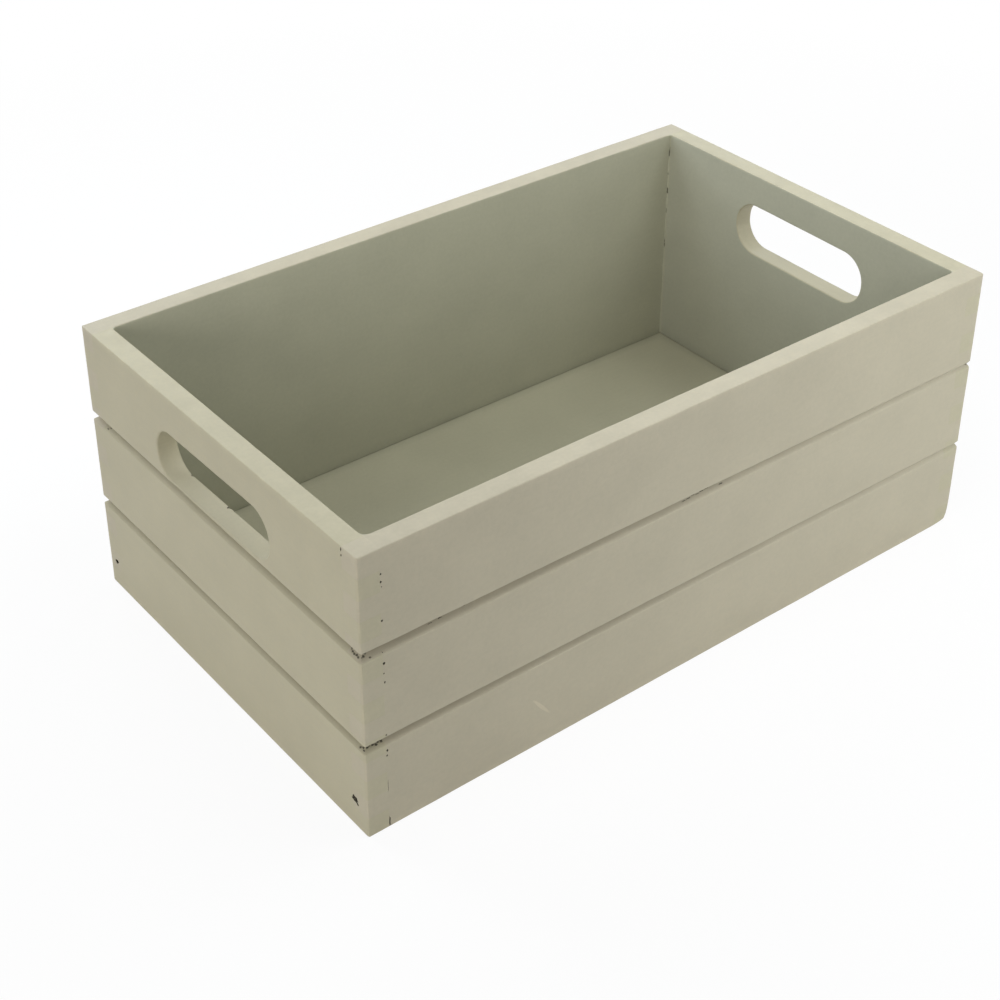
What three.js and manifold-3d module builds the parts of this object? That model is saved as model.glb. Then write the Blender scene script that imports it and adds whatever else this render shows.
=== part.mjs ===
import * as THREE from 'three';
import { mergeVertices } from 'three/addons/utils/BufferGeometryUtils.js';
import Module from 'manifold-3d';

// A painted wooden storage box: four walls comb-jointed at the corners, round a base panel held in grooves.
// Lengths are in millimetres. +X runs along the long walls, +Y from front to back and +Z up, and the origin
// is at the middle of the footprint, on the surface that the box stands on.

const wasm = await Module();
wasm.setup();

// Overall sizes, over the outer faces
const boxLength = 264;
const boxWidth = 160;
const boxHeight = 105;

// Boards of the four walls
const boardThickness = 7.5;
const arrisRound = 0.8;
const cornerRound = 1.4;
const roundSteps = 3;

// Comb joints at the four corners: the bottom finger belongs to the end boards and the top one to the
// long boards
const fingersPerCorner = 14;
const jointGap = 0.1;

// V-grooves that run round all four outer faces, so that each wall looks like three planks
const grooveHeightShares = [0.333, 0.66];
const grooveWidth = 4;
const grooveDepth = 1.8;

// Hand slots in the end boards, with their foot just above the upper groove
const slotLength = 66;
const slotFootHeight = 72;
const leftSlotHeight = 18.8;
const rightSlotHeight = 20.5;
const slotRound = 1;
const slotCurveSteps = 10;

// Base panel, with its edges in a groove along the foot of every wall
const panelThickness = 4;
const panelUndersideHeight = 9;
const panelGrooveDepth = 3;
const panelClearance = 0.2;

// How far a cut runs past the face that it starts from
const overrun = 5;

const insideLength = boxLength - 2 * boardThickness;
const insideWidth = boxWidth - 2 * boardThickness;
const fingerHeight = boxHeight / fingersPerCorner;
const grooveHeights = grooveHeightShares.map((share) => share * boxHeight);

function solidFrom(geometry) {
  const bare = geometry.index ? geometry.toNonIndexed() : geometry.clone();
  bare.deleteAttribute('normal');
  bare.deleteAttribute('uv');
  const merged = mergeVertices(bare);
  const vertProperties = new Float32Array(merged.attributes.position.array);
  const triVerts = new Uint32Array(merged.index.array);
  return new wasm.Manifold(new wasm.Mesh({ numProp: 3, vertProperties, triVerts }));
}

function geometryFrom(solid) {
  const { vertProperties, triVerts } = solid.getMesh();
  const geometry = new THREE.BufferGeometry();
  geometry.setAttribute('position', new THREE.BufferAttribute(vertProperties, 3));
  geometry.setIndex(new THREE.BufferAttribute(triVerts, 1));
  geometry.computeVertexNormals();
  return geometry;
}

function block(low, high) {
  const size = high.map((top, axis) => top - low[axis]);
  const geometry = new THREE.BoxGeometry(...size);
  geometry.translate(...low.map((bottom, axis) => bottom + size[axis] / 2));
  return solidFrom(geometry);
}

function joined(solids) {
  return solids.reduce((whole, solid) => whole.add(solid));
}

function roundedRectangle(length, width, radius) {
  const x = length / 2 - radius;
  const y = width / 2 - radius;
  const outline = new THREE.Shape();
  outline.absarc(x, -y, radius, -Math.PI / 2, 0);
  outline.absarc(x, y, radius, 0, Math.PI / 2);
  outline.absarc(-x, y, radius, Math.PI / 2, Math.PI);
  outline.absarc(-x, -y, radius, Math.PI, 1.5 * Math.PI);
  return outline;
}

function rectangle(length, width) {
  return new THREE.Shape([
    new THREE.Vector2(-length / 2, -width / 2),
    new THREE.Vector2(length / 2, -width / 2),
    new THREE.Vector2(length / 2, width / 2),
    new THREE.Vector2(-length / 2, width / 2),
  ]);
}

function racetrack(length, height) {
  const radius = height / 2;
  const x = length / 2 - radius;
  const outline = new THREE.Shape();
  outline.absarc(x, 0, radius, -Math.PI / 2, Math.PI / 2);
  outline.absarc(-x, 0, radius, Math.PI / 2, 1.5 * Math.PI);
  return outline;
}

// An outline extruded from 0 up to its depth. A positive edge rounds its two edges off, as on a body, and a
// negative one widens them, as on a cut that leaves rounded mouths.
function extruded(outline, depth, edge, curveSegments) {
  const radius = Math.abs(edge);
  const geometry = new THREE.ExtrudeGeometry(outline, {
    depth: depth - 2 * radius,
    curveSegments,
    bevelThickness: radius,
    bevelSize: edge,
    bevelOffset: -edge,
    bevelSegments: roundSteps,
  });
  return geometry.translate(0, 0, radius);
}

// The whole outer form of the box, as if it were solid
function outerForm() {
  const footprint = roundedRectangle(boxLength, boxWidth, cornerRound);
  return solidFrom(extruded(footprint, boxHeight, arrisRound, roundSteps));
}

// The space inside the four walls, open at the top and at the bottom
function innerSpace() {
  return solidFrom(extruded(rectangle(insideLength, insideWidth), boxHeight, -arrisRound, roundSteps));
}

// One straight V-shaped cut along X, with its root at grooveDepth behind the plane y = 0
function straightGroove(length) {
  const slope = grooveWidth / 2 / grooveDepth;
  const halfMouth = slope * (grooveDepth + overrun);
  const section = new THREE.Shape([
    new THREE.Vector2(-overrun, -halfMouth),
    new THREE.Vector2(grooveDepth, 0),
    new THREE.Vector2(-overrun, halfMouth),
  ]);
  const geometry = new THREE.ExtrudeGeometry(section, { depth: length, bevelEnabled: false });
  geometry.translate(0, 0, -length / 2);
  geometry.rotateY(Math.PI / 2);
  return geometry.rotateX(Math.PI / 2);
}

// A groove all the way round the box at one height
function grooveAllRound(height) {
  const sides = [
    { length: boxLength, distance: boxWidth / 2, turn: 0 },
    { length: boxWidth, distance: boxLength / 2, turn: Math.PI / 2 },
    { length: boxLength, distance: boxWidth / 2, turn: Math.PI },
    { length: boxWidth, distance: boxLength / 2, turn: -Math.PI / 2 },
  ];
  return joined(sides.map(({ length, distance, turn }) => {
    const geometry = straightGroove(length + 2 * overrun);
    geometry.translate(0, -distance, height);
    return solidFrom(geometry.rotateZ(turn));
  }));
}

// Every other finger of the four corner joints, counted from the bottom, with half of the joint's gap
// round it
function cornerFingers(firstFinger) {
  const gap = jointGap / 2;
  const fingers = [];
  for (let finger = firstFinger; finger < fingersPerCorner; finger += 2) {
    for (const sideX of [-1, 1]) {
      for (const sideY of [-1, 1]) {
        const inner = [sideX * (insideLength / 2 - gap), sideY * (insideWidth / 2 - gap)];
        const outer = [sideX * (boxLength / 2 + overrun), sideY * (boxWidth / 2 + overrun)];
        const bottom = finger * fingerHeight - gap;
        const top = (finger + 1) * fingerHeight + gap;
        const low = [Math.min(inner[0], outer[0]), Math.min(inner[1], outer[1]), bottom];
        const high = [Math.max(inner[0], outer[0]), Math.max(inner[1], outer[1]), top];
        fingers.push(block(low, high));
      }
    }
  }
  return joined(fingers);
}

// The groove that holds the base panel's edges, as one slab that reaches into all four walls
function panelGroove() {
  const x = insideLength / 2 + panelGrooveDepth;
  const y = insideWidth / 2 + panelGrooveDepth;
  const top = panelUndersideHeight + panelThickness + panelClearance;
  return block([-x, -y, panelUndersideHeight], [x, y, top]);
}

// A hand slot through the left end board, widening to a rounded mouth on both faces
function handSlot(height) {
  const outline = racetrack(slotLength, height);
  const geometry = extruded(outline, boardThickness, -slotRound, slotCurveSteps);
  geometry.rotateZ(Math.PI / 2);
  geometry.rotateY(Math.PI / 2);
  return solidFrom(geometry.translate(-boxLength / 2, 0, slotFootHeight + height / 2));
}

// The four walls joined into one, before the boards are parted at the corners
function shell() {
  const cuts = [innerSpace(), panelGroove(), ...grooveHeights.map(grooveAllRound)];
  return outerForm().subtract(joined(cuts));
}

const allWalls = shell();

// A long board, in the front wall's place
function longBoard() {
  const low = [-boxLength / 2 - overrun, -boxWidth / 2 - overrun, -overrun];
  const high = [boxLength / 2 + overrun, -insideWidth / 2, boxHeight + overrun];
  return allWalls.intersect(block(low, high)).subtract(cornerFingers(0));
}

// An end board, in the left end wall's place
function endBoard(slotHeight) {
  const low = [-boxLength / 2 - overrun, -boxWidth / 2 - overrun, -overrun];
  const high = [-insideLength / 2, boxWidth / 2 + overrun, boxHeight + overrun];
  return allWalls.intersect(block(low, high)).subtract(cornerFingers(1)).subtract(handSlot(slotHeight));
}

function basePanel() {
  const x = insideLength / 2 + panelGrooveDepth - panelClearance;
  const y = insideWidth / 2 + panelGrooveDepth - panelClearance;
  return block([-x, -y, 0], [x, y, panelThickness]);
}

const wallPaint = new THREE.MeshStandardMaterial({ color: 0xb2ad96, roughness: 0.75, metalness: 0 });
const panelPaint = new THREE.MeshStandardMaterial({ color: 0xa9a58f, roughness: 0.8, metalness: 0 });

const box = new THREE.Group();

function addPiece(name, solid, material) {
  const mesh = new THREE.Mesh(geometryFrom(solid), material);
  mesh.name = name;
  box.add(mesh);
  return mesh;
}

addPiece('front_wall', longBoard(), wallPaint);
addPiece('back_wall', longBoard(), wallPaint).rotation.z = Math.PI;
addPiece('left_end_wall', endBoard(leftSlotHeight), wallPaint);
addPiece('right_end_wall', endBoard(rightSlotHeight), wallPaint).rotation.z = Math.PI;
addPiece('base_panel', basePanel(), panelPaint).position.z = panelUndersideHeight;

export default box;
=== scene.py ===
import math
import random

import bmesh
import bpy
from mathutils import Matrix, Vector, noise


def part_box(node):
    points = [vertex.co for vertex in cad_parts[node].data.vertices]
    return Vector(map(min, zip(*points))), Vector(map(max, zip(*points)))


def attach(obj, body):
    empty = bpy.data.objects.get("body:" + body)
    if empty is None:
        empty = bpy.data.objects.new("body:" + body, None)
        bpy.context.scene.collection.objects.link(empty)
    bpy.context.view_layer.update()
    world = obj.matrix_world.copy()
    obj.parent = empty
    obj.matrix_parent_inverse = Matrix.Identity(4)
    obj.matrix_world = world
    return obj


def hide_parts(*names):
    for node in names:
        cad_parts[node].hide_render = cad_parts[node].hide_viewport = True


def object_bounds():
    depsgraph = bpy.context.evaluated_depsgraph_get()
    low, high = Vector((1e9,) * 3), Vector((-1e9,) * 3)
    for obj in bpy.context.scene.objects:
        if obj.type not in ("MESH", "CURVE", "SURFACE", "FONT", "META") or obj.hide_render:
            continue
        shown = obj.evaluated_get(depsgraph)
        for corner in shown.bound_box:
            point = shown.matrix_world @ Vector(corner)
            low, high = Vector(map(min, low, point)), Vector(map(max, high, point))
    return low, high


# A painted wooden storage box: four comb-jointed walls with V-grooves round them, round an inset base panel.
# Lengths are in metres. X runs along the long walls, Y from front to back and Z up.

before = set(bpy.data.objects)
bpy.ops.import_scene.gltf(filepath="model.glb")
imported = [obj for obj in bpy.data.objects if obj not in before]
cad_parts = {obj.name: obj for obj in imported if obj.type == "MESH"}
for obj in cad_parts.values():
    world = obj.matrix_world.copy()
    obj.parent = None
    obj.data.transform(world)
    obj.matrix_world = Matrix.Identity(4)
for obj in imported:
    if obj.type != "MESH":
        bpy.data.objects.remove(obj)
cad_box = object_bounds()

MM = 0.001
QUARTER_TURN = math.pi / 2

# Camera, solved from the edges of the box in the photograph. Its angles are in degrees, and its lens and
# sensor in millimetres
CAMERA_PLACE = (-0.35415, -0.42465, 0.41714)
CAMERA_HEADING = 38.6246
CAMERA_TILT = -31.0493
CAMERA_ROLL = 0.3649
CAMERA_LENS = 67.4872
CAMERA_SENSOR = 36.0
CAMERA_SHIFT_X = -0.01
CAMERA_SHIFT_Y = -0.149
CAMERA_NEAREST = 10 * MM

# Floor: it looks white, a little less so near the box, where its shadow shows
FLOOR_SIZE = 8.0
FLOOR_DROP = 0.05 * MM
FLOOR_COLOUR = (0.92, 0.92, 0.92)
FLOOR_NEAR_GLOW_SHARE = 0.92
FLOOR_FAR_GLOW_SHARE = 1.0
FLOOR_NEAR = 0.20
FLOOR_FAR = 0.55

# Daylight all round
WORLD_LEVEL = 0.08

# Soft boxes: place, size, power and colour. Those from the left are the warmest and those from behind the
# coolest
WARM_WHITE = (1.0, 0.99, 0.96)
COOL_WHITE = (0.955, 1.0, 1.01)
COOLEST_WHITE = (0.94, 1.0, 1.05)
SOFT_BOXES = {
    "left": {"place": (-1.00, -0.27, 0.43), "size": 0.4, "power": 2.41, "colour": WARM_WHITE},
    "front_left": {"place": (-0.93, -0.54, 0.28), "size": 0.4, "power": 2.32, "colour": WARM_WHITE},
    "front_middle": {"place": (0.15, -0.30, 0.15), "size": 0.2, "power": 0.30, "colour": COOL_WHITE},
    "front_right": {"place": (0.45, -0.30, 0.15), "size": 0.2, "power": 0.29, "colour": COOL_WHITE},
    "over_front": {"place": (0.0, -0.10, 0.45), "size": 0.2, "power": 0.53, "colour": COOL_WHITE},
    "over_right": {"place": (0.25, -0.10, 0.45), "size": 0.2, "power": 0.56, "colour": COOL_WHITE},
    "over_back": {"place": (-0.20, 0.30, 0.50), "size": 0.2, "power": 0.74, "colour": COOLEST_WHITE},
    "back": {"place": (0.0, 0.45, 0.35), "size": 0.2, "power": 0.66, "colour": COOLEST_WHITE},
    "back_left": {"place": (-0.30, 0.45, 0.30), "size": 0.2, "power": 0.45, "colour": COOLEST_WHITE},
    "back_right": {"place": (0.40, 0.30, 0.35), "size": 0.2, "power": 0.58, "colour": COOLEST_WHITE},
}

# Corners of a rectangle, anticlockwise from its low one. Values that are listed for the box's corners go the
# same way round, from the front left one
CORNERS = ((-1, -1), (1, -1), (1, 1), (-1, 1))

# Spacing of the mesh points along the walls, up their outer faces and up their inner faces, and the number of
# steps in a rounded edge and in a rounded corner
ALONG_STEP = 1.5 * MM
OUTER_UP_STEP = 2.5 * MM
INNER_UP_STEP = 1.0 * MM
ROUND_STEPS = 5
CORNER_STEPS = 6

# How far a cut runs past the face that it starts from, and the least round that a corner keeps when its
# outline shrinks
OVERRUN = 5 * MM
SHARPEST_ROUND = 0.1 * MM

# Rounded edges, and how unevenly they were sanded. An outer corner's round has its reach along X and along Y
OUTER_ARRIS = 0.4 * MM
INNER_ARRIS = 0.4 * MM
OUTER_CORNER_ROUND = (0.5 * MM, 1.4 * MM)
INNER_CORNER_ROUNDS = (1.9 * MM, 0.7 * MM, 0.5 * MM, 0.7 * MM)
ARRIS_UNEVEN_SHARE = 0.3
ARRIS_UNEVEN_LENGTH = 14 * MM

# The foot of the front right corner, which has been knocked round
WORN_CORNER_ROUND = 1.5 * MM
WORN_CORNER_REACH = 9 * MM

# Grooves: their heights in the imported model, the shares of half the width and of the depth that their section
# passes through, and for each corner how far the lower and the upper groove lie above those heights, their
# share of the full width and their depth
GROOVE_HEIGHT_SHARES = (0.333, 0.66)
GROOVE_WIDTH = 4 * MM
GROOVE_MOUTH_SHARE = 1.06
GROOVE_SECTION_SHARES = (
    (GROOVE_MOUTH_SHARE, 0.0),
    (0.99, 0.03),
    (0.90, 0.10),
    (0.50, 0.50),
    (0.12, 0.88),
    (0.04, 0.97),
    (0.0, 1.0),
)
GROOVE_CORNER_SHIFTS = (
    (-0.4 * MM, -1.1 * MM, -0.4 * MM, 0.45 * MM),
    (-0.05 * MM, -0.95 * MM, -0.1 * MM, 0.95 * MM),
)
GROOVE_WIDTH_SHARES = (
    (0.86, 0.68, 0.78, 0.88),
    (0.98, 0.70, 0.80, 0.95),
)
GROOVE_CORNER_DEPTHS = (
    (2.5 * MM, 0.9 * MM, 1.6 * MM, 2.4 * MM),
    (2.6 * MM, 0.9 * MM, 1.6 * MM, 2.4 * MM),
)
GROOVE_WAVE = 0.12 * MM
GROOVE_WAVE_LENGTH = 12 * MM
GROOVE_TREMOR = 0.06 * MM
GROOVE_TREMOR_LENGTH = 3 * MM

# Comb joints
FINGERS_PER_CORNER = 14
JOINT_GAP = 0.02 * MM

# Paint that has gathered in the inner corners, at every second finger
BEAD_ROUND = 1.1 * MM
BEAD_HALF_HEIGHT = 1.6 * MM
BEAD_LEAST_SHARE = 0.3

# Hand slots: the end that they are in, how far their middle lies from the middle of the end wall, their
# length, their foot and top, and the share of the way to the back that they rise by
SLOTS = {
    "left": {
        "side": -1,
        "middle": 0.4 * MM,
        "length": 66.7 * MM,
        "foot": 72.3 * MM,
        "top": 91.1 * MM,
        "lean_share": -0.012,
    },
    "right": {
        "side": 1,
        "middle": 0.0,
        "length": 64.7 * MM,
        "foot": 71.7 * MM,
        "top": 92.1 * MM,
        "lean_share": 0.010,
    },
}
SLOT_ROUND = 0.6 * MM
SLOT_END_SHARE = 0.96
SLOT_STEP = 1.0 * MM
SLOT_UNEVEN = 0.15 * MM
SLOT_UNEVEN_LENGTH = 9 * MM
SLOT_END_STEPS = 20

# Base panel
PANEL_CLEARANCE = 0.2 * MM
PANEL_ARRIS = 0.3 * MM
PANEL_CORNER_ROUND = 0.4 * MM

# Pits where the joints have opened, on the front left joint line and on the one round the corner from it: the
# height of each, and its width and height
JOINT_PIT_DEPTH = 0.9 * MM
FRONT_JOINT_PITS = (
    {"height": 96.2 * MM, "size": (0.5 * MM, 0.7 * MM)},
    {"height": 93.5 * MM, "size": (0.6 * MM, 0.9 * MM)},
    {"height": 91.7 * MM, "size": (0.3 * MM, 0.5 * MM)},
    {"height": 79.7 * MM, "size": (0.6 * MM, 0.7 * MM)},
    {"height": 67.9 * MM, "size": (0.4 * MM, 0.6 * MM)},
    {"height": 64.1 * MM, "size": (0.8 * MM, 1.0 * MM)},
    {"height": 60.4 * MM, "size": (0.4 * MM, 0.6 * MM)},
    {"height": 57.1 * MM, "size": (0.5 * MM, 0.8 * MM)},
    {"height": 37.0 * MM, "size": (0.6 * MM, 0.6 * MM)},
    {"height": 30.8 * MM, "size": (0.6 * MM, 0.8 * MM)},
    {"height": 28.9 * MM, "size": (0.5 * MM, 0.7 * MM)},
    {"height": 17.0 * MM, "size": (0.14 * MM, 5.0 * MM)},
    {"height": 2.0 * MM, "size": (0.45 * MM, 3.8 * MM)},
)
LEFT_JOINT_PITS = (
    {"height": 104.0 * MM, "size": (0.5 * MM, 1.6 * MM)},
    {"height": 102.0 * MM, "size": (0.4 * MM, 0.8 * MM)},
)
JOINT_PIT_WANDER = 0.4 * MM
FRONT_PIT_WANDER_SHARES = (0.5, 1.5)

# Other joint lines, by their corner and whether they are on its end face or its long one, with the number of
# pits that each has and the range of their size
OTHER_JOINTS = ((1, -1, True), (1, 1, True), (1, 1, False), (-1, 1, False))
OTHER_JOINT_PITS = 4
OTHER_PIT_SIZES = (0.3 * MM, 0.7 * MM)

# Nail marks near the foot of the end walls: how far each lies from the middle of the wall, its height, its
# width and height, and its lean in degrees
NAIL_MARKS = (
    {"across": -73.6 * MM, "height": 10.9 * MM, "size": (3.8 * MM, 2.5 * MM), "lean": 20},
    {"across": 75.2 * MM, "height": 10.7 * MM, "size": (2.5 * MM, 1.7 * MM), "lean": -10},
)
NAIL_MARK_DEPTH = 1.6 * MM

# Splintered stretches of the grooves of the front wall and of the left end wall: the groove, where each
# starts and ends, the part of the groove that it is on, from -1 for the lower lip to 1 for the upper one, and
# the splinters' number and size
FRONT_SPLINTERS = (
    {"groove": 0, "from": -130.6 * MM, "to": -123.7 * MM, "share": -0.3, "count": 7, "size": 1.1 * MM},
    {"groove": 1, "from": -131.2 * MM, "to": -127.8 * MM, "share": -0.5, "count": 4, "size": 0.9 * MM},
    {"groove": 1, "from": -111.0 * MM, "to": -93.0 * MM, "share": 0.0, "count": 10, "size": 0.5 * MM},
    {"groove": 1, "from": -9.5 * MM, "to": 12.5 * MM, "share": 0.0, "count": 11, "size": 0.5 * MM},
    {"groove": 1, "from": 129.3 * MM, "to": 131.0 * MM, "share": 0.0, "count": 2, "size": 0.9 * MM},
)
LEFT_SPLINTERS = (
    {"groove": 1, "from": -78.8 * MM, "to": -71.8 * MM, "share": -0.3, "count": 7, "size": 1.3 * MM},
    {"groove": 0, "from": -78.8 * MM, "to": -75.0 * MM, "share": -0.4, "count": 4, "size": 0.8 * MM},
    {"groove": 1, "from": 69.0 * MM, "to": 71.0 * MM, "share": -0.4, "count": 2, "size": 0.7 * MM},
)
SPLINTER_WANDER_SHARE = 0.35
SPLINTER_LENGTH_SHARE = 0.45
SPLINTER_SIZE_SHARES = (0.5, 1.0)

# Nicks on the inner lower edge of the left hand slot: how far each lies from the middle of the wall, and its
# size
SLOT_NICKS = ({"across": 25.2 * MM, "size": 1.6 * MM}, {"across": 2.6 * MM, "size": 1.8 * MM})

# Gaps in the paint of the inner corners, between the beads: the height of each, and its width and height
CORNER_GAPS = (
    {"height": 97 * MM, "size": (0.7 * MM, 5.0 * MM)},
    {"height": 87.5 * MM, "size": (0.5 * MM, 2.4 * MM)},
    {"height": 80 * MM, "size": (0.7 * MM, 3.6 * MM)},
    {"height": 71 * MM, "size": (0.6 * MM, 3.0 * MM)},
    {"height": 56 * MM, "size": (0.7 * MM, 3.4 * MM)},
    {"height": 38 * MM, "size": (0.4 * MM, 2.0 * MM)},
)

# Pits are balls pulled out of shape: the fineness of their mesh, how far they waver as a share of their size,
# and over which share of it
PIT_FINENESS = 3
PIT_RAGGED_SHARE = 0.8
PIT_RAGGED_LENGTH_SHARE = 0.5
RANDOM_SEED = 7

# Paint: linear colours of the long and the end walls outside and inside, and of the base. A face counts as
# inside up to a tolerance, and an edge as sharp from an angle in degrees
LONG_OUTSIDE_PAINT = (0.445, 0.400, 0.297)
END_OUTSIDE_PAINT = (0.438, 0.400, 0.281)
# The inside paints, and less so the base's, are greener than the outside ones: a painted tint for the shade
# inside the box
LONG_INSIDE_PAINT = (0.411, 0.400, 0.302)
END_INSIDE_PAINT = (0.404, 0.400, 0.318)
BASE_PAINT = (0.423, 0.400, 0.286)
INSIDE_TOLERANCE = 0.05 * MM
SHARP_ANGLE = 35

# Paint: cloudy patches, streaks along the board, and the relief of the paint skin
NOISE_LOW = 0.3
NOISE_HIGH = 0.7
CLOUD_LENGTH = 22 * MM
CLOUD_SHARE = 0.03
CLOUD_DETAIL = 5
STREAK_LENGTH = 28 * MM
STREAK_WIDTH = 0.9 * MM
STREAK_SHARE = 0.008
STREAK_DETAIL = 3
SKIN_LENGTH = 1.3 * MM
SKIN_SHARE = 0.03
SKIN_DETAIL = 2
PAINT_ROUGHNESS_RANGE = (0.54, 0.68)
RELIEF = 0.03 * MM
STREAK_RELIEF_SHARE = 0.15
BROAD_RELIEF = 0.06 * MM

# A painted highlight along the edges, in patches like worn paint, and the scuff on the front wall's lowest
# plank, which is turned by an angle in degrees. How light they are is a share of the paint's lightness
# elsewhere
EDGE_HIGHLIGHT_REACH = 0.7 * MM
EDGE_HIGHLIGHT_PATCH_LENGTH = 6 * MM
EDGE_HIGHLIGHT_DETAIL = 3
EDGE_HIGHLIGHT_SHARE = 1.18
SCUFF_PLACE = (-65.2 * MM, -80 * MM, 15.4 * MM)
SCUFF_REACH = (6.0 * MM, 3.0 * MM, 0.7 * MM)
SCUFF_TURN = 52
SCUFF_LIGHT_SHARE = 1.18

# Painted shade: how much darker the paint is made at the root of the deepest groove, on the long and on the end
# walls, and where the walls meet the base
LONG_GROOVE_SHADE_SHARE = 0.17
END_GROOVE_SHADE_SHARE = 0.30
DEEPEST_GROOVE = 2.6 * MM
CREVICE_SHADE_REACH = 4 * MM
CREVICE_SHADE_SHARE = 0.14

# Hollows, between a dark and a light colour: bare wood in a pit, darkened to near black as painted shade, torn
# wood in a groove, and in a corner gap a colour darker than the paint, as painted shade
PIT_WOOD_AND_SHADE = ((0.020, 0.018, 0.013), (0.090, 0.078, 0.055))
TORN_WOOD = ((0.080, 0.074, 0.054), (0.230, 0.215, 0.160))
CORNER_GAP_SHADE = ((0.200, 0.195, 0.150), (0.290, 0.284, 0.215))
HOLLOW_LENGTH = 0.8 * MM
HOLLOW_DETAIL = 2
HOLLOW_ROUGHNESS = 0.9

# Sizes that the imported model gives
half_length = cad_box[1].x
half_width = cad_box[1].y
box_height = cad_box[1].z
front_low, front_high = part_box("front_wall")
board_thickness = front_high.y - front_low.y
panel_low, panel_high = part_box("base_panel")
inside_half_length = half_length - board_thickness
inside_half_width = half_width - board_thickness
finger_height = box_height / FINGERS_PER_CORNER


def add_object(name, data):
    thing = bpy.data.objects.new(name, data)
    bpy.context.scene.collection.objects.link(thing)
    return thing


def make_camera():
    data = bpy.data.cameras.new("camera")
    data.sensor_width = CAMERA_SENSOR
    data.lens = CAMERA_LENS
    data.shift_x = CAMERA_SHIFT_X
    data.shift_y = CAMERA_SHIFT_Y
    data.clip_start = CAMERA_NEAREST
    camera = add_object("camera", data)
    heading = Matrix.Rotation(math.radians(-CAMERA_HEADING), 4, "Z")
    tilt = Matrix.Rotation(QUARTER_TURN + math.radians(CAMERA_TILT), 4, "X")
    roll = Matrix.Rotation(math.radians(CAMERA_ROLL), 4, "Z")
    camera.matrix_world = Matrix.Translation(CAMERA_PLACE) @ heading @ tilt @ roll
    bpy.context.scene.camera = camera


def new_material(name):
    material = bpy.data.materials.new(name)
    material.use_nodes = True
    material.node_tree.nodes.clear()
    return material


def output_shader(tree, shader, kind="ShaderNodeOutputMaterial"):
    output = tree.nodes.new(kind)
    tree.links.new(shader, output.inputs["Surface"])


def calculated(tree, operation, *values):
    """The result of a calculation with outputs of other nodes and plain numbers."""
    node = tree.nodes.new("ShaderNodeMath")
    node.operation = operation
    for value, socket in zip(values, node.inputs):
        if isinstance(value, float):
            socket.default_value = value
        else:
            tree.links.new(value, socket)
    return node.outputs[0]


def ranged(tree, value, low, high, from_low=NOISE_LOW, from_high=NOISE_HIGH):
    """A value from low to high, as another one goes from from_low to from_high."""
    mapped = tree.nodes.new("ShaderNodeMapRange")
    mapped.inputs["From Min"].default_value = from_low
    mapped.inputs["From Max"].default_value = from_high
    mapped.inputs["To Min"].default_value = low
    mapped.inputs["To Max"].default_value = high
    tree.links.new(value, mapped.inputs["Value"])
    return mapped.outputs["Result"]


def object_place(tree):
    return tree.nodes.new("ShaderNodeTexCoord").outputs["Object"]


def attribute_value(tree, name):
    attribute = tree.nodes.new("ShaderNodeAttribute")
    attribute.attribute_name = name
    return attribute.outputs["Fac"]


def stretched_noise(tree, lengths, detail):
    """Noise with features of about those lengths along X, Y and Z."""
    scaled = tree.nodes.new("ShaderNodeMapping")
    scaled.inputs["Scale"].default_value = [1 / length for length in lengths]
    tree.links.new(object_place(tree), scaled.inputs["Vector"])
    texture = tree.nodes.new("ShaderNodeTexNoise")
    texture.inputs["Scale"].default_value = 1
    texture.inputs["Detail"].default_value = detail
    tree.links.new(scaled.outputs["Vector"], texture.inputs["Vector"])
    return texture.outputs[0]


def even_noise(tree, length, detail):
    return stretched_noise(tree, (length, length, length), detail)


def seen_directly(tree):
    """1 for the camera and what a mirror or pane shows, and 0 for the light that lands on the object."""
    path = tree.nodes.new("ShaderNodeLightPath").outputs
    seen = calculated(tree, "MAXIMUM", path["Is Camera Ray"], path["Is Glossy Ray"])
    return calculated(tree, "MAXIMUM", seen, path["Is Transmission Ray"])


def mixed(tree, share, first, second):
    """The first shader where the share is 0 and the second where it is 1."""
    mix = tree.nodes.new("ShaderNodeMixShader")
    tree.links.new(share, mix.inputs["Fac"])
    tree.links.new(first, mix.inputs[1])
    tree.links.new(second, mix.inputs[2])
    return mix.outputs[0]


def floor_material():
    """Paper that glows white for the camera alone, a little less near the box."""
    material = new_material("white_floor")
    tree = material.node_tree
    paper = tree.nodes.new("ShaderNodeBsdfDiffuse")
    paper.inputs["Color"].default_value = (*FLOOR_COLOUR, 1)
    glow = tree.nodes.new("ShaderNodeEmission")
    distance = tree.nodes.new("ShaderNodeVectorMath")
    distance.operation = "LENGTH"
    tree.links.new(object_place(tree), distance.inputs[0])
    glow_shares = (FLOOR_NEAR_GLOW_SHARE, FLOOR_FAR_GLOW_SHARE)
    glow_share = ranged(tree, distance.outputs["Value"], *glow_shares, FLOOR_NEAR, FLOOR_FAR)
    share = calculated(tree, "MULTIPLY", seen_directly(tree), glow_share)
    output_shader(tree, mixed(tree, share, paper.outputs[0], glow.outputs[0]))
    return material


def make_floor():
    half = FLOOR_SIZE / 2
    corners = [(side_x * half, side_y * half, 0) for side_x, side_y in CORNERS]
    floor = solid("floor", corners, [tuple(range(len(corners)))])
    floor.location.z = -FLOOR_DROP
    floor.data.materials.append(floor_material())


def make_world():
    world = bpy.data.worlds.new("studio")
    bpy.context.scene.world = world
    world.use_nodes = True
    tree = world.node_tree
    tree.nodes.clear()
    daylight = tree.nodes.new("ShaderNodeBackground")
    daylight.inputs["Color"].default_value = (1, 1, 1, 1)
    daylight.inputs["Strength"].default_value = WORLD_LEVEL
    white = tree.nodes.new("ShaderNodeBackground")
    white.inputs["Color"].default_value = (1, 1, 1, 1)
    shown = mixed(tree, seen_directly(tree), daylight.outputs[0], white.outputs[0])
    output_shader(tree, shown, "ShaderNodeOutputWorld")


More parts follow.
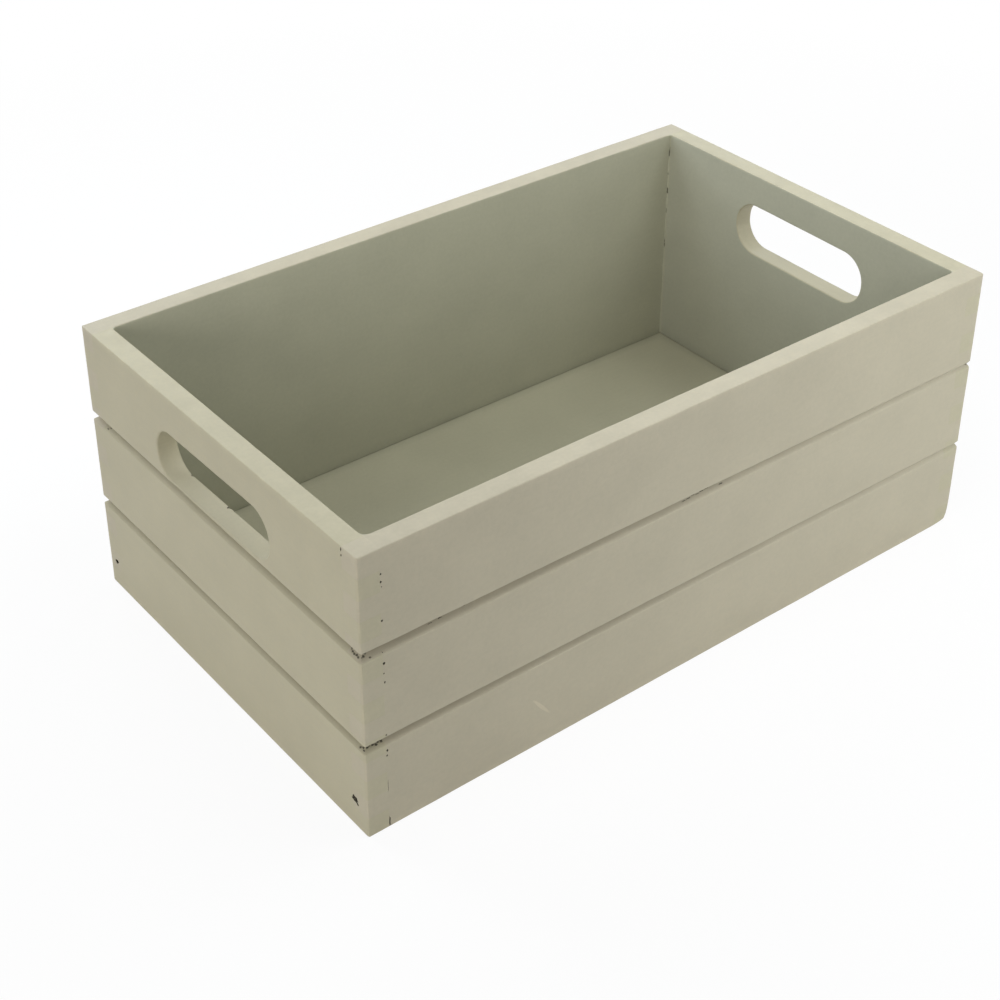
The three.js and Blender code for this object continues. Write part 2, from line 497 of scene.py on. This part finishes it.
def make_soft_boxes():
    middle = (cad_box[0] + cad_box[1]) / 2
    for name, box in SOFT_BOXES.items():
        data = bpy.data.lights.new(name, "AREA")
        data.size = box["size"]
        data.energy = box["power"]
        data.color = box["colour"]
        lamp = add_object(name, data)
        lamp.location = box["place"]
        lamp.rotation_mode = "QUATERNION"
        lamp.rotation_quaternion = (middle - lamp.location).to_track_quat("-Z", "Y")
        lamp.visible_camera = False


def spaced(start, end, step):
    """Values from start to end, both included, at even steps no longer than step."""
    count = max(1, math.ceil(abs(end - start) / step))
    return [start + (end - start) * index / count for index in range(count + 1)]


def between(start, end, share):
    return start + (end - start) * share


def outline(half_x, half_y, step, corner_steps):
    """Points round a rectangle with rounded corners, anticlockwise from its low corner. Each one is the
    corner that it lies at or comes from, how far it is turned round that corner, and its share of the way to
    the next one."""
    points = []
    for index in range(len(CORNERS)):
        points += [(index, turn / corner_steps, 0) for turn in range(corner_steps + 1)]
        run = 2 * (half_x, half_y)[index % 2]
        points += [(index, 1, share) for share in spaced(0, 1, step / run)[1:-1]]
    return points


def on_corner(index, turn, half_x, half_y, rounding, depth):
    side_x, side_y = CORNERS[index]
    angle = (2 + index + turn) * QUARTER_TURN
    round_x, round_y = [max(reach - depth, SHARPEST_ROUND) for reach in rounding]
    x = side_x * (half_x - depth - round_x) + math.cos(angle) * round_x
    y = side_y * (half_y - depth - round_y) + math.sin(angle) * round_y
    return x, y


def on_outline(point, half_x, half_y, rounds, depth):
    """Where a point of an outline lies once the outline has shrunk by depth."""
    index, turn, share = point
    x, y = on_corner(index, turn, half_x, half_y, rounds[index], depth)
    if share == 0:
        return x, y
    after = (index + 1) % len(CORNERS)
    next_x, next_y = on_corner(after, 0, half_x, half_y, rounds[after], depth)
    return between(x, next_x, share), between(y, next_y, share)


def uneven(place, length, seed=0.0):
    """A smooth random value from about -1 to 1, which changes over that length."""
    return noise.noise(Vector(place) / length + Vector((seed, -seed, seed)))


def solid(name, points, faces):
    mesh = bpy.data.meshes.new(name)
    mesh.from_pydata(points, [], faces)
    return add_object(name, mesh)


def ring_faces(rings, first=0):
    """The faces of a closed solid through rings, whose points are numbered from first."""
    count = len(rings[0])
    last = first + (len(rings) - 1) * count
    faces = [tuple(reversed(range(first, first + count))), tuple(range(last, last + count))]
    for lower in range(first, last, count):
        for index in range(count):
            after = (index + 1) % count
            faces.append((lower + index, lower + after, lower + count + after, lower + count + index))
    return faces


def loft(name, rings):
    """A closed solid through rings that run anticlockwise, stacked along the way that they are seen from."""
    points = [point for ring in rings for point in ring]
    return solid(name, points, ring_faces(rings))


def block_rings(low, high):
    corners = [(low[0], low[1]), (high[0], low[1]), (high[0], high[1]), (low[0], high[1])]
    return [[(x, y, z) for x, y in corners] for z in (low[2], high[2])]


def settle(piece):
    """Replaces a piece's mesh by what its modifiers make of it."""
    graph = bpy.context.evaluated_depsgraph_get()
    mesh = bpy.data.meshes.new_from_object(piece.evaluated_get(graph))
    piece.modifiers.clear()
    piece.data = mesh


def combine(piece, operation, others):
    """Cuts other objects away from a piece or leaves what it shares with them, and removes them."""
    for other in others:
        modifier = piece.modifiers.new(operation, "BOOLEAN")
        modifier.solver = "MANIFOLD"
        modifier.operation = operation
        modifier.material_mode = "TRANSFER"
        modifier.object = other
    settle(piece)
    for other in others:
        bpy.data.objects.remove(other)


def separate_parts(form):
    """The points of each separate part of a mesh."""
    found = set()
    parts = []
    for start in form.verts:
        if start in found:
            continue
        found.add(start)
        part = [start]
        for point in part:
            for edge in point.link_edges:
                other = edge.other_vert(point)
                if other not in found:
                    found.add(other)
                    part.append(other)
        parts.append(part)
    return parts


def drop_specks(piece):
    """Leaves only the largest part of a piece, without the specks that the pits cut loose along a joint."""
    form = bmesh.new()
    form.from_mesh(piece.data)
    parts = sorted(separate_parts(form), key=len)
    specks = [point for part in parts[:-1] for point in part]
    bmesh.ops.delete(form, geom=specks, context="VERTS")
    form.to_mesh(piece.data)
    form.free()


def quarter_round():
    """Shares of a rounded edge's radius, inwards and upwards, from its flat foot to its upright side."""
    angles = [QUARTER_TURN * step / ROUND_STEPS for step in range(ROUND_STEPS + 1)]
    return [(1 - math.sin(angle), 1 - math.cos(angle)) for angle in angles]


def groove_section():
    """Shares of a groove's half width and depth, from its lower lip through its root to its upper lip."""
    lower = [(-across, deep) for across, deep in GROOVE_SECTION_SHARES]
    upper = list(reversed(GROOVE_SECTION_SHARES))[1:]
    return lower + upper


def corner_blend(values, x, y):
    """A value that is set for the four corners, at a place between them."""
    front_left, front_right, back_right, back_left = values
    share_x = (x + half_length) / (2 * half_length)
    share_y = (y + half_width) / (2 * half_width)
    front = between(front_left, front_right, share_x)
    back = between(back_left, back_right, share_x)
    return between(front, back, share_y)


def groove_shift(index, x, y):
    """How far a groove lies above its own height: it leans along each wall, and wavers a little."""
    wave = GROOVE_WAVE * uneven((x, y, 0), GROOVE_WAVE_LENGTH, index)
    tremor = GROOVE_TREMOR * uneven((x, y, 0), GROOVE_TREMOR_LENGTH, index)
    return corner_blend(GROOVE_CORNER_SHIFTS[index], x, y) + wave + tremor


def leaning(x, y, height):
    """The height of a point of the outer face, which leans with the grooves below and above it."""
    levels = [0, *[share * box_height for share in GROOVE_HEIGHT_SHARES], box_height]
    shifts = [0, *[groove_shift(index, x, y) for index in range(len(GROOVE_HEIGHT_SHARES))], 0]
    for low, high, low_shift, high_shift in zip(levels, levels[1:], shifts, shifts[1:]):
        if low <= height <= high:
            return height + between(low_shift, high_shift, (height - low) / (high - low))
    return height


def groove_root(index, x, y):
    """The height of a groove's root at a place."""
    return leaning(x, y, GROOVE_HEIGHT_SHARES[index] * box_height)


def half_groove(index, x, y):
    """Half the width of a groove at a place."""
    return corner_blend(GROOVE_WIDTH_SHARES[index], x, y) * GROOVE_WIDTH / 2


def groove_depth(index, x, y):
    return corner_blend(GROOVE_CORNER_DEPTHS[index], x, y)


def worn_away(x, y, height):
    """How much more than elsewhere the edges are rounded near the knocked corner."""
    distance = Vector((x - half_length, y + half_width, height)).length
    share = max(0, 1 - distance / WORN_CORNER_REACH)
    return WORN_CORNER_ROUND * share * share


def outer_rounds(height):
    rounds = []
    for index, (side_x, side_y) in enumerate(CORNERS):
        waver = 1 + ARRIS_UNEVEN_SHARE * uneven((0, 0, height), ARRIS_UNEVEN_LENGTH, index)
        worn = worn_away(side_x * half_length, side_y * half_width, height)
        rounds.append(tuple(reach * waver + worn for reach in OUTER_CORNER_ROUND))
    return rounds


def outer_ring(points, height):
    rounds = outer_rounds(height)
    spots = [on_outline(point, half_length, half_width, rounds, 0) for point in points]
    return [(x, y, leaning(x, y, height)) for x, y in spots]


def arris_ring(points, height, inwards, up):
    """A ring of the rounded edge at the foot or the rim, at those shares of its radius."""
    rounds = outer_rounds(height)
    ring = []
    for point in points:
        spot = (*on_outline(point, half_length, half_width, rounds, 0), height)
        waver = 1 + ARRIS_UNEVEN_SHARE * uneven(spot, ARRIS_UNEVEN_LENGTH)
        radius = OUTER_ARRIS * waver + worn_away(*spot)
        x, y = on_outline(point, half_length, half_width, rounds, radius * inwards)
        ring.append((x, y, height + radius * up))
    return ring


def groove_ring(points, index, across, deep):
    """A ring of a groove, at those shares of its half width and depth."""
    rounds = outer_rounds(GROOVE_HEIGHT_SHARES[index] * box_height)
    ring = []
    for point in points:
        x, y = on_outline(point, half_length, half_width, rounds, 0)
        level = groove_root(index, x, y) + across * half_groove(index, x, y)
        depth = deep * groove_depth(index, x, y)
        ring.append((*on_outline(point, half_length, half_width, rounds, depth), level))
    return ring


def outer_form():
    """The whole outer form of the box with its grooves, as if it were solid."""
    points = outline(half_length, half_width, ALONG_STEP, CORNER_STEPS)
    rings = [arris_ring(points, 0, inwards, up) for inwards, up in quarter_round()]
    lowest = OUTER_ARRIS
    reach = GROOVE_MOUTH_SHARE * GROOVE_WIDTH / 2
    for index, share in enumerate(GROOVE_HEIGHT_SHARES):
        middle = share * box_height
        heights = spaced(lowest, middle - reach, OUTER_UP_STEP)[1:-1]
        rings += [outer_ring(points, height) for height in heights]
        rings += [groove_ring(points, index, across, deep) for across, deep in groove_section()]
        lowest = middle + reach
    heights = spaced(lowest, box_height - OUTER_ARRIS, OUTER_UP_STEP)[1:-1]
    rings += [outer_ring(points, height) for height in heights]
    rings += [arris_ring(points, box_height, inwards, -up) for inwards, up in reversed(quarter_round())]
    return loft("outer_form", rings)


def bead_share(height, seed):
    """How far paint fills an inner corner at a height, from 0 to 1: most at every second joint line."""
    pitch = 2 * finger_height
    nearest = round(height / pitch) * pitch
    share = max(0, 1 - abs(height - nearest) / BEAD_HALF_HEIGHT)
    waver = uneven((seed, 0, nearest), finger_height, seed)
    return share * share * between(BEAD_LEAST_SHARE, 1, (1 + waver) / 2)


def inner_rounds(height):
    rounds = []
    for index, rounding in enumerate(INNER_CORNER_ROUNDS):
        reach = rounding + BEAD_ROUND * bead_share(height, index)
        rounds.append((reach, reach))
    return rounds


def inner_space():
    """The space inside the walls, with a rounded mouth above and below."""
    points = outline(inside_half_length, inside_half_width, ALONG_STEP, CORNER_STEPS)
    section = [(-OVERRUN, 1, 0)]
    section += [(0, outwards, up) for outwards, up in quarter_round()]
    heights = spaced(INNER_ARRIS, box_height - INNER_ARRIS, INNER_UP_STEP)[1:-1]
    section += [(height, 0, 0) for height in heights]
    section += [(box_height, outwards, -up) for outwards, up in reversed(quarter_round())]
    section.append((box_height + OVERRUN, 1, 0))
    rings = []
    for height, outwards, up in section:
        rounds = inner_rounds(height)
        ring = []
        for point in points:
            spot = (*on_outline(point, inside_half_length, inside_half_width, rounds, 0), height)
            radius = INNER_ARRIS * (1 + ARRIS_UNEVEN_SHARE * uneven(spot, ARRIS_UNEVEN_LENGTH))
            x, y = on_outline(point, inside_half_length, inside_half_width, rounds, -radius * outwards)
            ring.append((x, y, height + radius * up))
        rings.append(ring)
    return loft("inner_space", rings)


def panel_groove():
    """The groove that holds the base panel, as one slab that reaches into all four walls."""
    reach_x = panel_high.x + PANEL_CLEARANCE
    reach_y = panel_high.y + PANEL_CLEARANCE
    top = panel_high.z + PANEL_CLEARANCE
    return loft("panel_groove", block_rings((-reach_x, -reach_y, panel_low.z), (reach_x, reach_y, top)))


def hand_slot(slot):
    """The space of a hand slot, widening to a rounded mouth on both faces of its end wall."""
    half_slot = slot["length"] / 2
    half_high = (slot["top"] - slot["foot"]) / 2
    level = (slot["top"] + slot["foot"]) / 2
    end_round = SLOT_END_SHARE * half_high
    rounds = [(end_round, end_round)] * len(CORNERS)
    points = outline(half_slot, half_high, SLOT_STEP, SLOT_END_STEPS)
    near, far = sorted((slot["side"] * half_length, slot["side"] * inside_half_length))
    section = [(near - OVERRUN, 1, 0)]
    section += [(near, outwards, along) for outwards, along in quarter_round()]
    section += [(far, outwards, -along) for outwards, along in reversed(quarter_round())]
    section.append((far + OVERRUN, 1, 0))
    rings = []
    for x, outwards, along in section:
        ring = []
        for point in points:
            spot = on_outline(point, half_slot, half_high, rounds, 0)
            waver = uneven((*spot, x), SLOT_UNEVEN_LENGTH, slot["side"])
            mouth = SLOT_ROUND * (1 + ARRIS_UNEVEN_SHARE * waver)
            depth = SLOT_UNEVEN * waver - mouth * outwards
            y, z = on_outline(point, half_slot, half_high, rounds, depth)
            ring.append((x + mouth * along, y + slot["middle"], z + level + slot["lean_share"] * y))
        rings.append(ring)
    return loft("hand_slot", rings)


def comb(first_finger):
    """Every other finger of the four corner joints, counted from the bottom, with half of the joint's gap."""
    gap = JOINT_GAP / 2
    points = []
    faces = []
    for finger in range(first_finger, FINGERS_PER_CORNER, 2):
        low = finger * finger_height - gap - (OVERRUN if finger == 0 else 0)
        high = (finger + 1) * finger_height + gap
        high += OVERRUN if finger == FINGERS_PER_CORNER - 1 else 0
        for side_x, side_y in CORNERS:
            xs = sorted((side_x * (inside_half_length - gap), side_x * (half_length + OVERRUN)))
            ys = sorted((side_y * (inside_half_width - gap), side_y * (half_width + OVERRUN)))
            rings = block_rings((xs[0], ys[0], low), (xs[1], ys[1], high))
            faces += ring_faces(rings, len(points))
            points += [point for ring in rings for point in ring]
    return solid("comb", points, faces)


def pits(name, spots, material):
    """Small ragged hollows, as one solid to cut away. Each has its middle, its half sizes and its lean about
    X in degrees."""
    form = bmesh.new()
    for place, reach, lean in spots:
        ball = bmesh.ops.create_icosphere(form, subdivisions=PIT_FINENESS, radius=1)
        turn = Matrix.Rotation(math.radians(lean), 3, "X")
        seed = sum(place) / MM
        for vertex in ball["verts"]:
            ragged = 1 + PIT_RAGGED_SHARE * uneven(vertex.co, PIT_RAGGED_LENGTH_SHARE, seed)
            offset = Vector([share * size * ragged for share, size in zip(vertex.co, reach)])
            vertex.co = Vector(place) + turn @ offset
    mesh = bpy.data.meshes.new(name)
    form.to_mesh(mesh)
    form.free()
    mesh.materials.append(material)
    return add_object(name, mesh)


def near_joint_pits():
    """Pits on the two joint lines of the front left corner."""
    spots = []
    for pit in FRONT_JOINT_PITS:
        wide, high = pit["size"]
        wander = JOINT_PIT_WANDER * random.uniform(*FRONT_PIT_WANDER_SHARES)
        place = (-inside_half_length + wander, -half_width, pit["height"])
        spots.append((place, (wide / 2, JOINT_PIT_DEPTH, high / 2), 0))
    for pit in LEFT_JOINT_PITS:
        wide, high = pit["size"]
        place = (-half_length, -inside_half_width, pit["height"])
        spots.append((place, (JOINT_PIT_DEPTH, wide / 2, high / 2), 0))
    return pits("near_joint_pits", spots, pit_wood_and_shade)


def other_joint_pits():
    """Pits on the joint lines of the other corners, at the end of some of the fingers."""
    spots = []
    for side_x, side_y, on_end in OTHER_JOINTS:
        for finger in random.sample(range(1, FINGERS_PER_CORNER), OTHER_JOINT_PITS):
            height = finger * finger_height
            half = random.uniform(*OTHER_PIT_SIZES) / 2
            wander = JOINT_PIT_WANDER * random.uniform(-1, 1)
            if on_end:
                place = (side_x * half_length, side_y * inside_half_width + wander, height)
                reach = (JOINT_PIT_DEPTH, half, half)
            else:
                place = (side_x * inside_half_length + wander, side_y * half_width, height)
                reach = (half, JOINT_PIT_DEPTH, half)
            spots.append((place, reach, 0))
    return pits("other_joint_pits", spots, pit_wood_and_shade)


def nail_marks():
    spots = []
    for side_x in (-1, 1):
        for mark in NAIL_MARKS:
            wide, high = mark["size"]
            place = (side_x * half_length, mark["across"], mark["height"])
            spots.append((place, (NAIL_MARK_DEPTH, wide / 2, high / 2), mark["lean"]))
    return pits("nail_marks", spots, pit_wood_and_shade)


def slot_nicks():
    slot = SLOTS["left"]
    spots = []
    for nick in SLOT_NICKS:
        height = slot["foot"] + slot["lean_share"] * (nick["across"] - slot["middle"])
        half = nick["size"] / 2
        spots.append(((-inside_half_length, nick["across"], height), (half, half, half), 0))
    return pits("slot_nicks", spots, torn_wood)


def corner_gaps():
    """Where the paint has left the inner corners open, between the fingers."""
    spots = []
    for side_x, side_y in CORNERS:
        for gap in CORNER_GAPS:
            wide, high = gap["size"]
            place = (side_x * inside_half_length, side_y * inside_half_width, gap["height"])
            spots.append((place, (wide / 2, wide / 2, high / 2), 0))
    # The gaps get a colour darker than the paint, as painted shade
    return pits("corner_gaps", spots, corner_gap_shade)


def splinter(stretch, number, on_front):
    """One torn fibre of a splintered stretch, in the front wall's groove or in the left end wall's."""
    index = stretch["groove"]
    pitch = (stretch["to"] - stretch["from"]) / stretch["count"]
    along = stretch["from"] + pitch * (2 * number + 1) / 2
    x, y = (along, -half_width) if on_front else (-half_length, along)
    across = stretch["share"] + SPLINTER_WANDER_SHARE * random.uniform(-1, 1)
    height = groove_root(index, x, y) + across * half_groove(index, x, y)
    depth = (1 - abs(across)) * groove_depth(index, x, y)
    half = stretch["size"] * random.uniform(*SPLINTER_SIZE_SHARES) / 2
    reach = SPLINTER_LENGTH_SHARE * pitch
    if on_front:
        return (x, y + depth, height), (reach, half, half), 0
    return (x + depth, y, height), (half, reach, half), 0


def splinters():
    """Torn fibres in the grooves, side by side along each splintered stretch. Neighbours overlap, so every
    second one is in a solid of its own."""
    halves = ([], [])
    for on_front, stretches in ((True, FRONT_SPLINTERS), (False, LEFT_SPLINTERS)):
        for stretch in stretches:
            for number in range(stretch["count"]):
                halves[number % 2].append(splinter(stretch, number, on_front))
    return [pits("splinters", spots, torn_wood) for spots in halves]


def edge_highlight_share(tree):
    """More than 1 in patches along the edges: a painted highlight, patchy like worn paint."""
    patches = ranged(tree, even_noise(tree, EDGE_HIGHLIGHT_PATCH_LENGTH, EDGE_HIGHLIGHT_DETAIL), 0, 1)
    worn = calculated(tree, "MULTIPLY", attribute_value(tree, "edge_share"), patches)
    return ranged(tree, worn, 1, EDGE_HIGHLIGHT_SHARE, 0, 1)


def scuff_light_share(tree):
    """More than 1 along the scuff."""
    near = tree.nodes.new("ShaderNodeMapping")
    near.vector_type = "TEXTURE"
    near.inputs["Location"].default_value = SCUFF_PLACE
    near.inputs["Rotation"].default_value = (0, math.radians(SCUFF_TURN), 0)
    near.inputs["Scale"].default_value = SCUFF_REACH
    tree.links.new(object_place(tree), near.inputs["Vector"])
    ball = tree.nodes.new("ShaderNodeTexGradient")
    ball.gradient_type = "SPHERICAL"
    tree.links.new(near.outputs["Vector"], ball.inputs["Vector"])
    return ranged(tree, ball.outputs["Fac"], 1, SCUFF_LIGHT_SHARE, 0, NOISE_LOW)


def long_groove_painted_shade(tree):
    """1 on a long wall's face and less towards the root of a groove: painted shade."""
    return ranged(tree, attribute_value(tree, "groove_share"), 1, 1 - LONG_GROOVE_SHADE_SHARE, 0, 1)


def end_groove_painted_shade(tree):
    """The same for the end walls, whose grooves get more painted shade."""
    return ranged(tree, attribute_value(tree, "groove_share"), 1, 1 - END_GROOVE_SHADE_SHARE, 0, 1)


def painted_crevice_shade(tree):
    """1 on the faces inside the box, and less towards the joint between the walls and the base: painted shade.
    """
    place = tree.nodes.new("ShaderNodeSeparateXYZ")
    tree.links.new(object_place(tree), place.inputs["Vector"])
    gaps = []
    for axis, reach in (("X", inside_half_length), ("Y", inside_half_width)):
        distance = calculated(tree, "ABSOLUTE", place.outputs[axis])
        gaps.append(calculated(tree, "SUBTRACT", reach, distance))
    rise = calculated(tree, "SUBTRACT", place.outputs["Z"], panel_high.z)
    gap = calculated(tree, "MAXIMUM", calculated(tree, "MINIMUM", *gaps), rise)
    return ranged(tree, gap, 1 - CREVICE_SHADE_SHARE, 1, 0, CREVICE_SHADE_REACH)


def paint_normal(tree, clouds, streaks, skin):
    """The relief of the paint: broad waves, and its skin with a trace of the grain."""
    broad = tree.nodes.new("ShaderNodeBump")
    broad.inputs["Distance"].default_value = BROAD_RELIEF
    tree.links.new(clouds, broad.inputs["Height"])
    fine = tree.nodes.new("ShaderNodeBump")
    fine.inputs["Distance"].default_value = RELIEF
    height = calculated(tree, "MULTIPLY_ADD", streaks, STREAK_RELIEF_SHARE, skin)
    tree.links.new(height, fine.inputs["Height"])
    tree.links.new(broad.outputs["Normal"], fine.inputs["Normal"])
    return fine.outputs["Normal"]


def paint_material(name, colour, streak_lengths, extra_light_shares):
    """Matt paint on a sanded board, with streaks along its grain. The extra shares are functions that lighten
    or darken it at places of its own."""
    material = new_material(name)
    tree = material.node_tree
    clouds = even_noise(tree, CLOUD_LENGTH, CLOUD_DETAIL)
    streaks = stretched_noise(tree, streak_lengths, STREAK_DETAIL)
    skin = even_noise(tree, SKIN_LENGTH, SKIN_DETAIL)
    # Starts from the painted highlight along the edges
    lightness = edge_highlight_share(tree)
    for value, share in ((clouds, CLOUD_SHARE), (streaks, STREAK_SHARE), (skin, SKIN_SHARE)):
        lightness = calculated(tree, "MULTIPLY", lightness, ranged(tree, value, 1 - share, 1 + share))
    for light_share in extra_light_shares:
        lightness = calculated(tree, "MULTIPLY", lightness, light_share(tree))
    paint = tree.nodes.new("ShaderNodeHueSaturation")
    paint.inputs["Color"].default_value = (*colour, 1)
    tree.links.new(lightness, paint.inputs["Value"])
    shader = tree.nodes.new("ShaderNodeBsdfPrincipled")
    tree.links.new(paint.outputs["Color"], shader.inputs["Base Color"])
    tree.links.new(ranged(tree, skin, *PAINT_ROUGHNESS_RANGE), shader.inputs["Roughness"])
    tree.links.new(paint_normal(tree, clouds, streaks, skin), shader.inputs["Normal"])
    output_shader(tree, shader.outputs[0])
    return material


def hollow_material(name, colours):
    """Rough wood or thin paint, between a dark and a light colour."""
    material = new_material(name)
    tree = material.node_tree
    fibres = even_noise(tree, HOLLOW_LENGTH, HOLLOW_DETAIL)
    wood = tree.nodes.new("ShaderNodeMix")
    wood.data_type = "RGBA"
    for socket, colour in zip(("A", "B"), colours):
        wood.inputs[socket].default_value = (*colour, 1)
    tree.links.new(ranged(tree, fibres, 0, 1), wood.inputs["Factor"])
    shader = tree.nodes.new("ShaderNodeBsdfPrincipled")
    shader.inputs["Roughness"].default_value = HOLLOW_ROUGHNESS
    tree.links.new(wood.outputs["Result"], shader.inputs["Base Color"])
    output_shader(tree, shader.outputs[0])
    return material


def walls_in_one():
    """The four walls joined into one, before the boards are parted at the corners."""
    walls = outer_form()
    slots = [hand_slot(slot) for slot in SLOTS.values()]
    combine(walls, "DIFFERENCE", [inner_space(), panel_groove(), *slots])
    hollows = [near_joint_pits(), other_joint_pits(), nail_marks(), slot_nicks(), corner_gaps()]
    combine(walls, "DIFFERENCE", hollows)
    combine(walls, "DIFFERENCE", splinters())
    return walls


def board(name, low, high, cuts):
    """A copy of the walls' stretch between two corners of space, less what is cut away."""
    piece = add_object(name, walls.data.copy())
    combine(piece, "INTERSECT", [loft("stretch", block_rings(low, high))])
    combine(piece, "DIFFERENCE", cuts)
    drop_specks(piece)
    return piece


def long_board(name, side):
    """The front or back board, with the paint in the inner corners."""
    gap = JOINT_GAP / 2
    beyond_x = half_length + OVERRUN
    fillet = inside_half_width - max(INNER_CORNER_ROUNDS) - BEAD_ROUND
    ys = sorted((side * fillet, side * (half_width + OVERRUN)))
    corner_ys = sorted((0, side * (inside_half_width + gap)))
    cuts = [comb(0)]
    for side_x in (-1, 1):
        corner_xs = sorted((side_x * (inside_half_length - gap), side_x * (beyond_x + OVERRUN)))
        low = (corner_xs[0], corner_ys[0], -2 * OVERRUN)
        high = (corner_xs[1], corner_ys[1], box_height + 2 * OVERRUN)
        cuts.append(loft("corner", block_rings(low, high)))
    return board(name, (-beyond_x, ys[0], -OVERRUN), (beyond_x, ys[1], box_height + OVERRUN), cuts)


def end_board(name, side):
    beyond_y = half_width + OVERRUN
    xs = sorted((side * inside_half_length, side * (half_length + OVERRUN)))
    low = (xs[0], -beyond_y, -OVERRUN)
    high = (xs[1], beyond_y, box_height + OVERRUN)
    return board(name, low, high, [comb(1)])


def base_panel(name):
    rounds = [(PANEL_CORNER_ROUND, PANEL_CORNER_ROUND)] * len(CORNERS)
    points = outline(panel_high.x, panel_high.y, ALONG_STEP, ROUND_STEPS)
    section = [(panel_low.z, inwards, up) for inwards, up in quarter_round()]
    section += [(panel_high.z, inwards, -up) for inwards, up in reversed(quarter_round())]
    rings = []
    for height, inwards, up in section:
        depth = PANEL_ARRIS * inwards
        spots = [on_outline(point, panel_high.x, panel_high.y, rounds, depth) for point in points]
        rings.append([(x, y, height + PANEL_ARRIS * up) for x, y in spots])
    return loft(name, rings)


def edge_share(place):
    """1 on an edge of a wall and 0 away from it, for the painted highlight along the edges."""
    x, y, z = place
    gap_x = half_length - abs(x)
    gap_y = half_width - abs(y)
    outer_gap = min(gap_x, gap_y)
    inner_gap = abs(max(abs(x) - inside_half_length, abs(y) - inside_half_width))
    end_gap = min(box_height - z, z)
    nearest = min(max(gap_x, gap_y), max(outer_gap, end_gap), max(inner_gap, end_gap))
    return max(0, 1 - nearest / EDGE_HIGHLIGHT_REACH)


def groove_share(place):
    """How deep a place lies in a groove, as a share of the deepest groove, for the painted shade in the
    grooves.
    """
    x, y, z = place
    depth = min(half_length - abs(x), half_width - abs(y))
    for index in range(len(GROOVE_HEIGHT_SHARES)):
        near_root = abs(z - groove_root(index, x, y)) < GROOVE_MOUTH_SHARE * half_groove(index, x, y)
        if near_root and depth < groove_depth(index, x, y) + INSIDE_TOLERANCE:
            return depth / DEEPEST_GROOVE
    return 0


def material_number(face, mesh, materials):
    """Which of a wall's materials a face has: its hollow's own, or else the first outside and the second
    inside."""
    own = mesh.materials[face.material_index] if face.material_index < len(mesh.materials) else None
    if own in hollow_materials:
        return materials.index(own)
    x, y, _ = face.center
    reach_x = inside_half_length + INSIDE_TOLERANCE
    reach_y = inside_half_width + INSIDE_TOLERANCE
    return 1 if abs(x) < reach_x and abs(y) < reach_y else 0


def finish_surface(piece, materials):
    """Gives a piece its materials, the shares that they read and smooth shading."""
    mesh = piece.data
    if len(materials) > 1:
        numbers = [material_number(face, mesh, materials) for face in mesh.polygons]
    else:
        numbers = [0] * len(mesh.polygons)
    mesh.materials.clear()
    for material in materials:
        mesh.materials.append(material)
    mesh.polygons.foreach_set("material_index", numbers)
    for name, share in (("edge_share", edge_share), ("groove_share", groove_share)):
        attribute = mesh.attributes.new(name, "FLOAT", "POINT")
        attribute.data.foreach_set("value", [share(vertex.co) for vertex in mesh.vertices])
    mesh.shade_smooth()
    mesh.set_sharp_from_angle(angle=math.radians(SHARP_ANGLE))
    weighted = piece.modifiers.new("weighted_normals", "WEIGHTED_NORMAL")
    weighted.keep_sharp = True
    settle(piece)


bpy.context.scene.view_settings.view_transform = "Standard"
make_camera()
make_floor()
make_world()
make_soft_boxes()

random.seed(RANDOM_SEED)
# The pits' near-black colour and the corner gaps' dark one are painted shade
pit_wood_and_shade = hollow_material("pit_wood_and_shade", PIT_WOOD_AND_SHADE)
torn_wood = hollow_material("torn_wood", TORN_WOOD)
corner_gap_shade = hollow_material("corner_gap_shade", CORNER_GAP_SHADE)
hollow_materials = [pit_wood_and_shade, torn_wood, corner_gap_shade]

along_x = (STREAK_LENGTH, STREAK_WIDTH, STREAK_WIDTH)
along_y = (STREAK_WIDTH, STREAK_LENGTH, STREAK_WIDTH)
# The groove shares darken the paint towards the groove roots as painted shade
front_light_shares = [long_groove_painted_shade, scuff_light_share]
front_outside = paint_material("front_outside_paint", LONG_OUTSIDE_PAINT, along_x, front_light_shares)
back_outside = paint_material("back_outside_paint", LONG_OUTSIDE_PAINT, along_x, [long_groove_painted_shade])
end_outside = paint_material("end_outside_paint", END_OUTSIDE_PAINT, along_y, [end_groove_painted_shade])
# Inside, the paint is darkened towards the base as painted shade
long_inside = paint_material("long_inside_paint", LONG_INSIDE_PAINT, along_x, [painted_crevice_shade])
end_inside = paint_material("end_inside_paint", END_INSIDE_PAINT, along_y, [painted_crevice_shade])
base_paint = paint_material("base_paint", BASE_PAINT, along_x, [painted_crevice_shade])

walls = walls_in_one()
pieces = {
    "front_wall": long_board("painted_front_wall", -1),
    "back_wall": long_board("painted_back_wall", 1),
    "left_end_wall": end_board("painted_left_end_wall", -1),
    "right_end_wall": end_board("painted_right_end_wall", 1),
    "base_panel": base_panel("painted_base_panel"),
}
paints = {
    "front_wall": [front_outside, long_inside, *hollow_materials],
    "back_wall": [back_outside, long_inside, *hollow_materials],
    "left_end_wall": [end_outside, end_inside, *hollow_materials],
    "right_end_wall": [end_outside, end_inside, *hollow_materials],
    "base_panel": [base_paint],
}
bpy.data.objects.remove(walls)
for node, piece in pieces.items():
    finish_surface(piece, paints[node])
    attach(piece, "root")
    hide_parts(node)
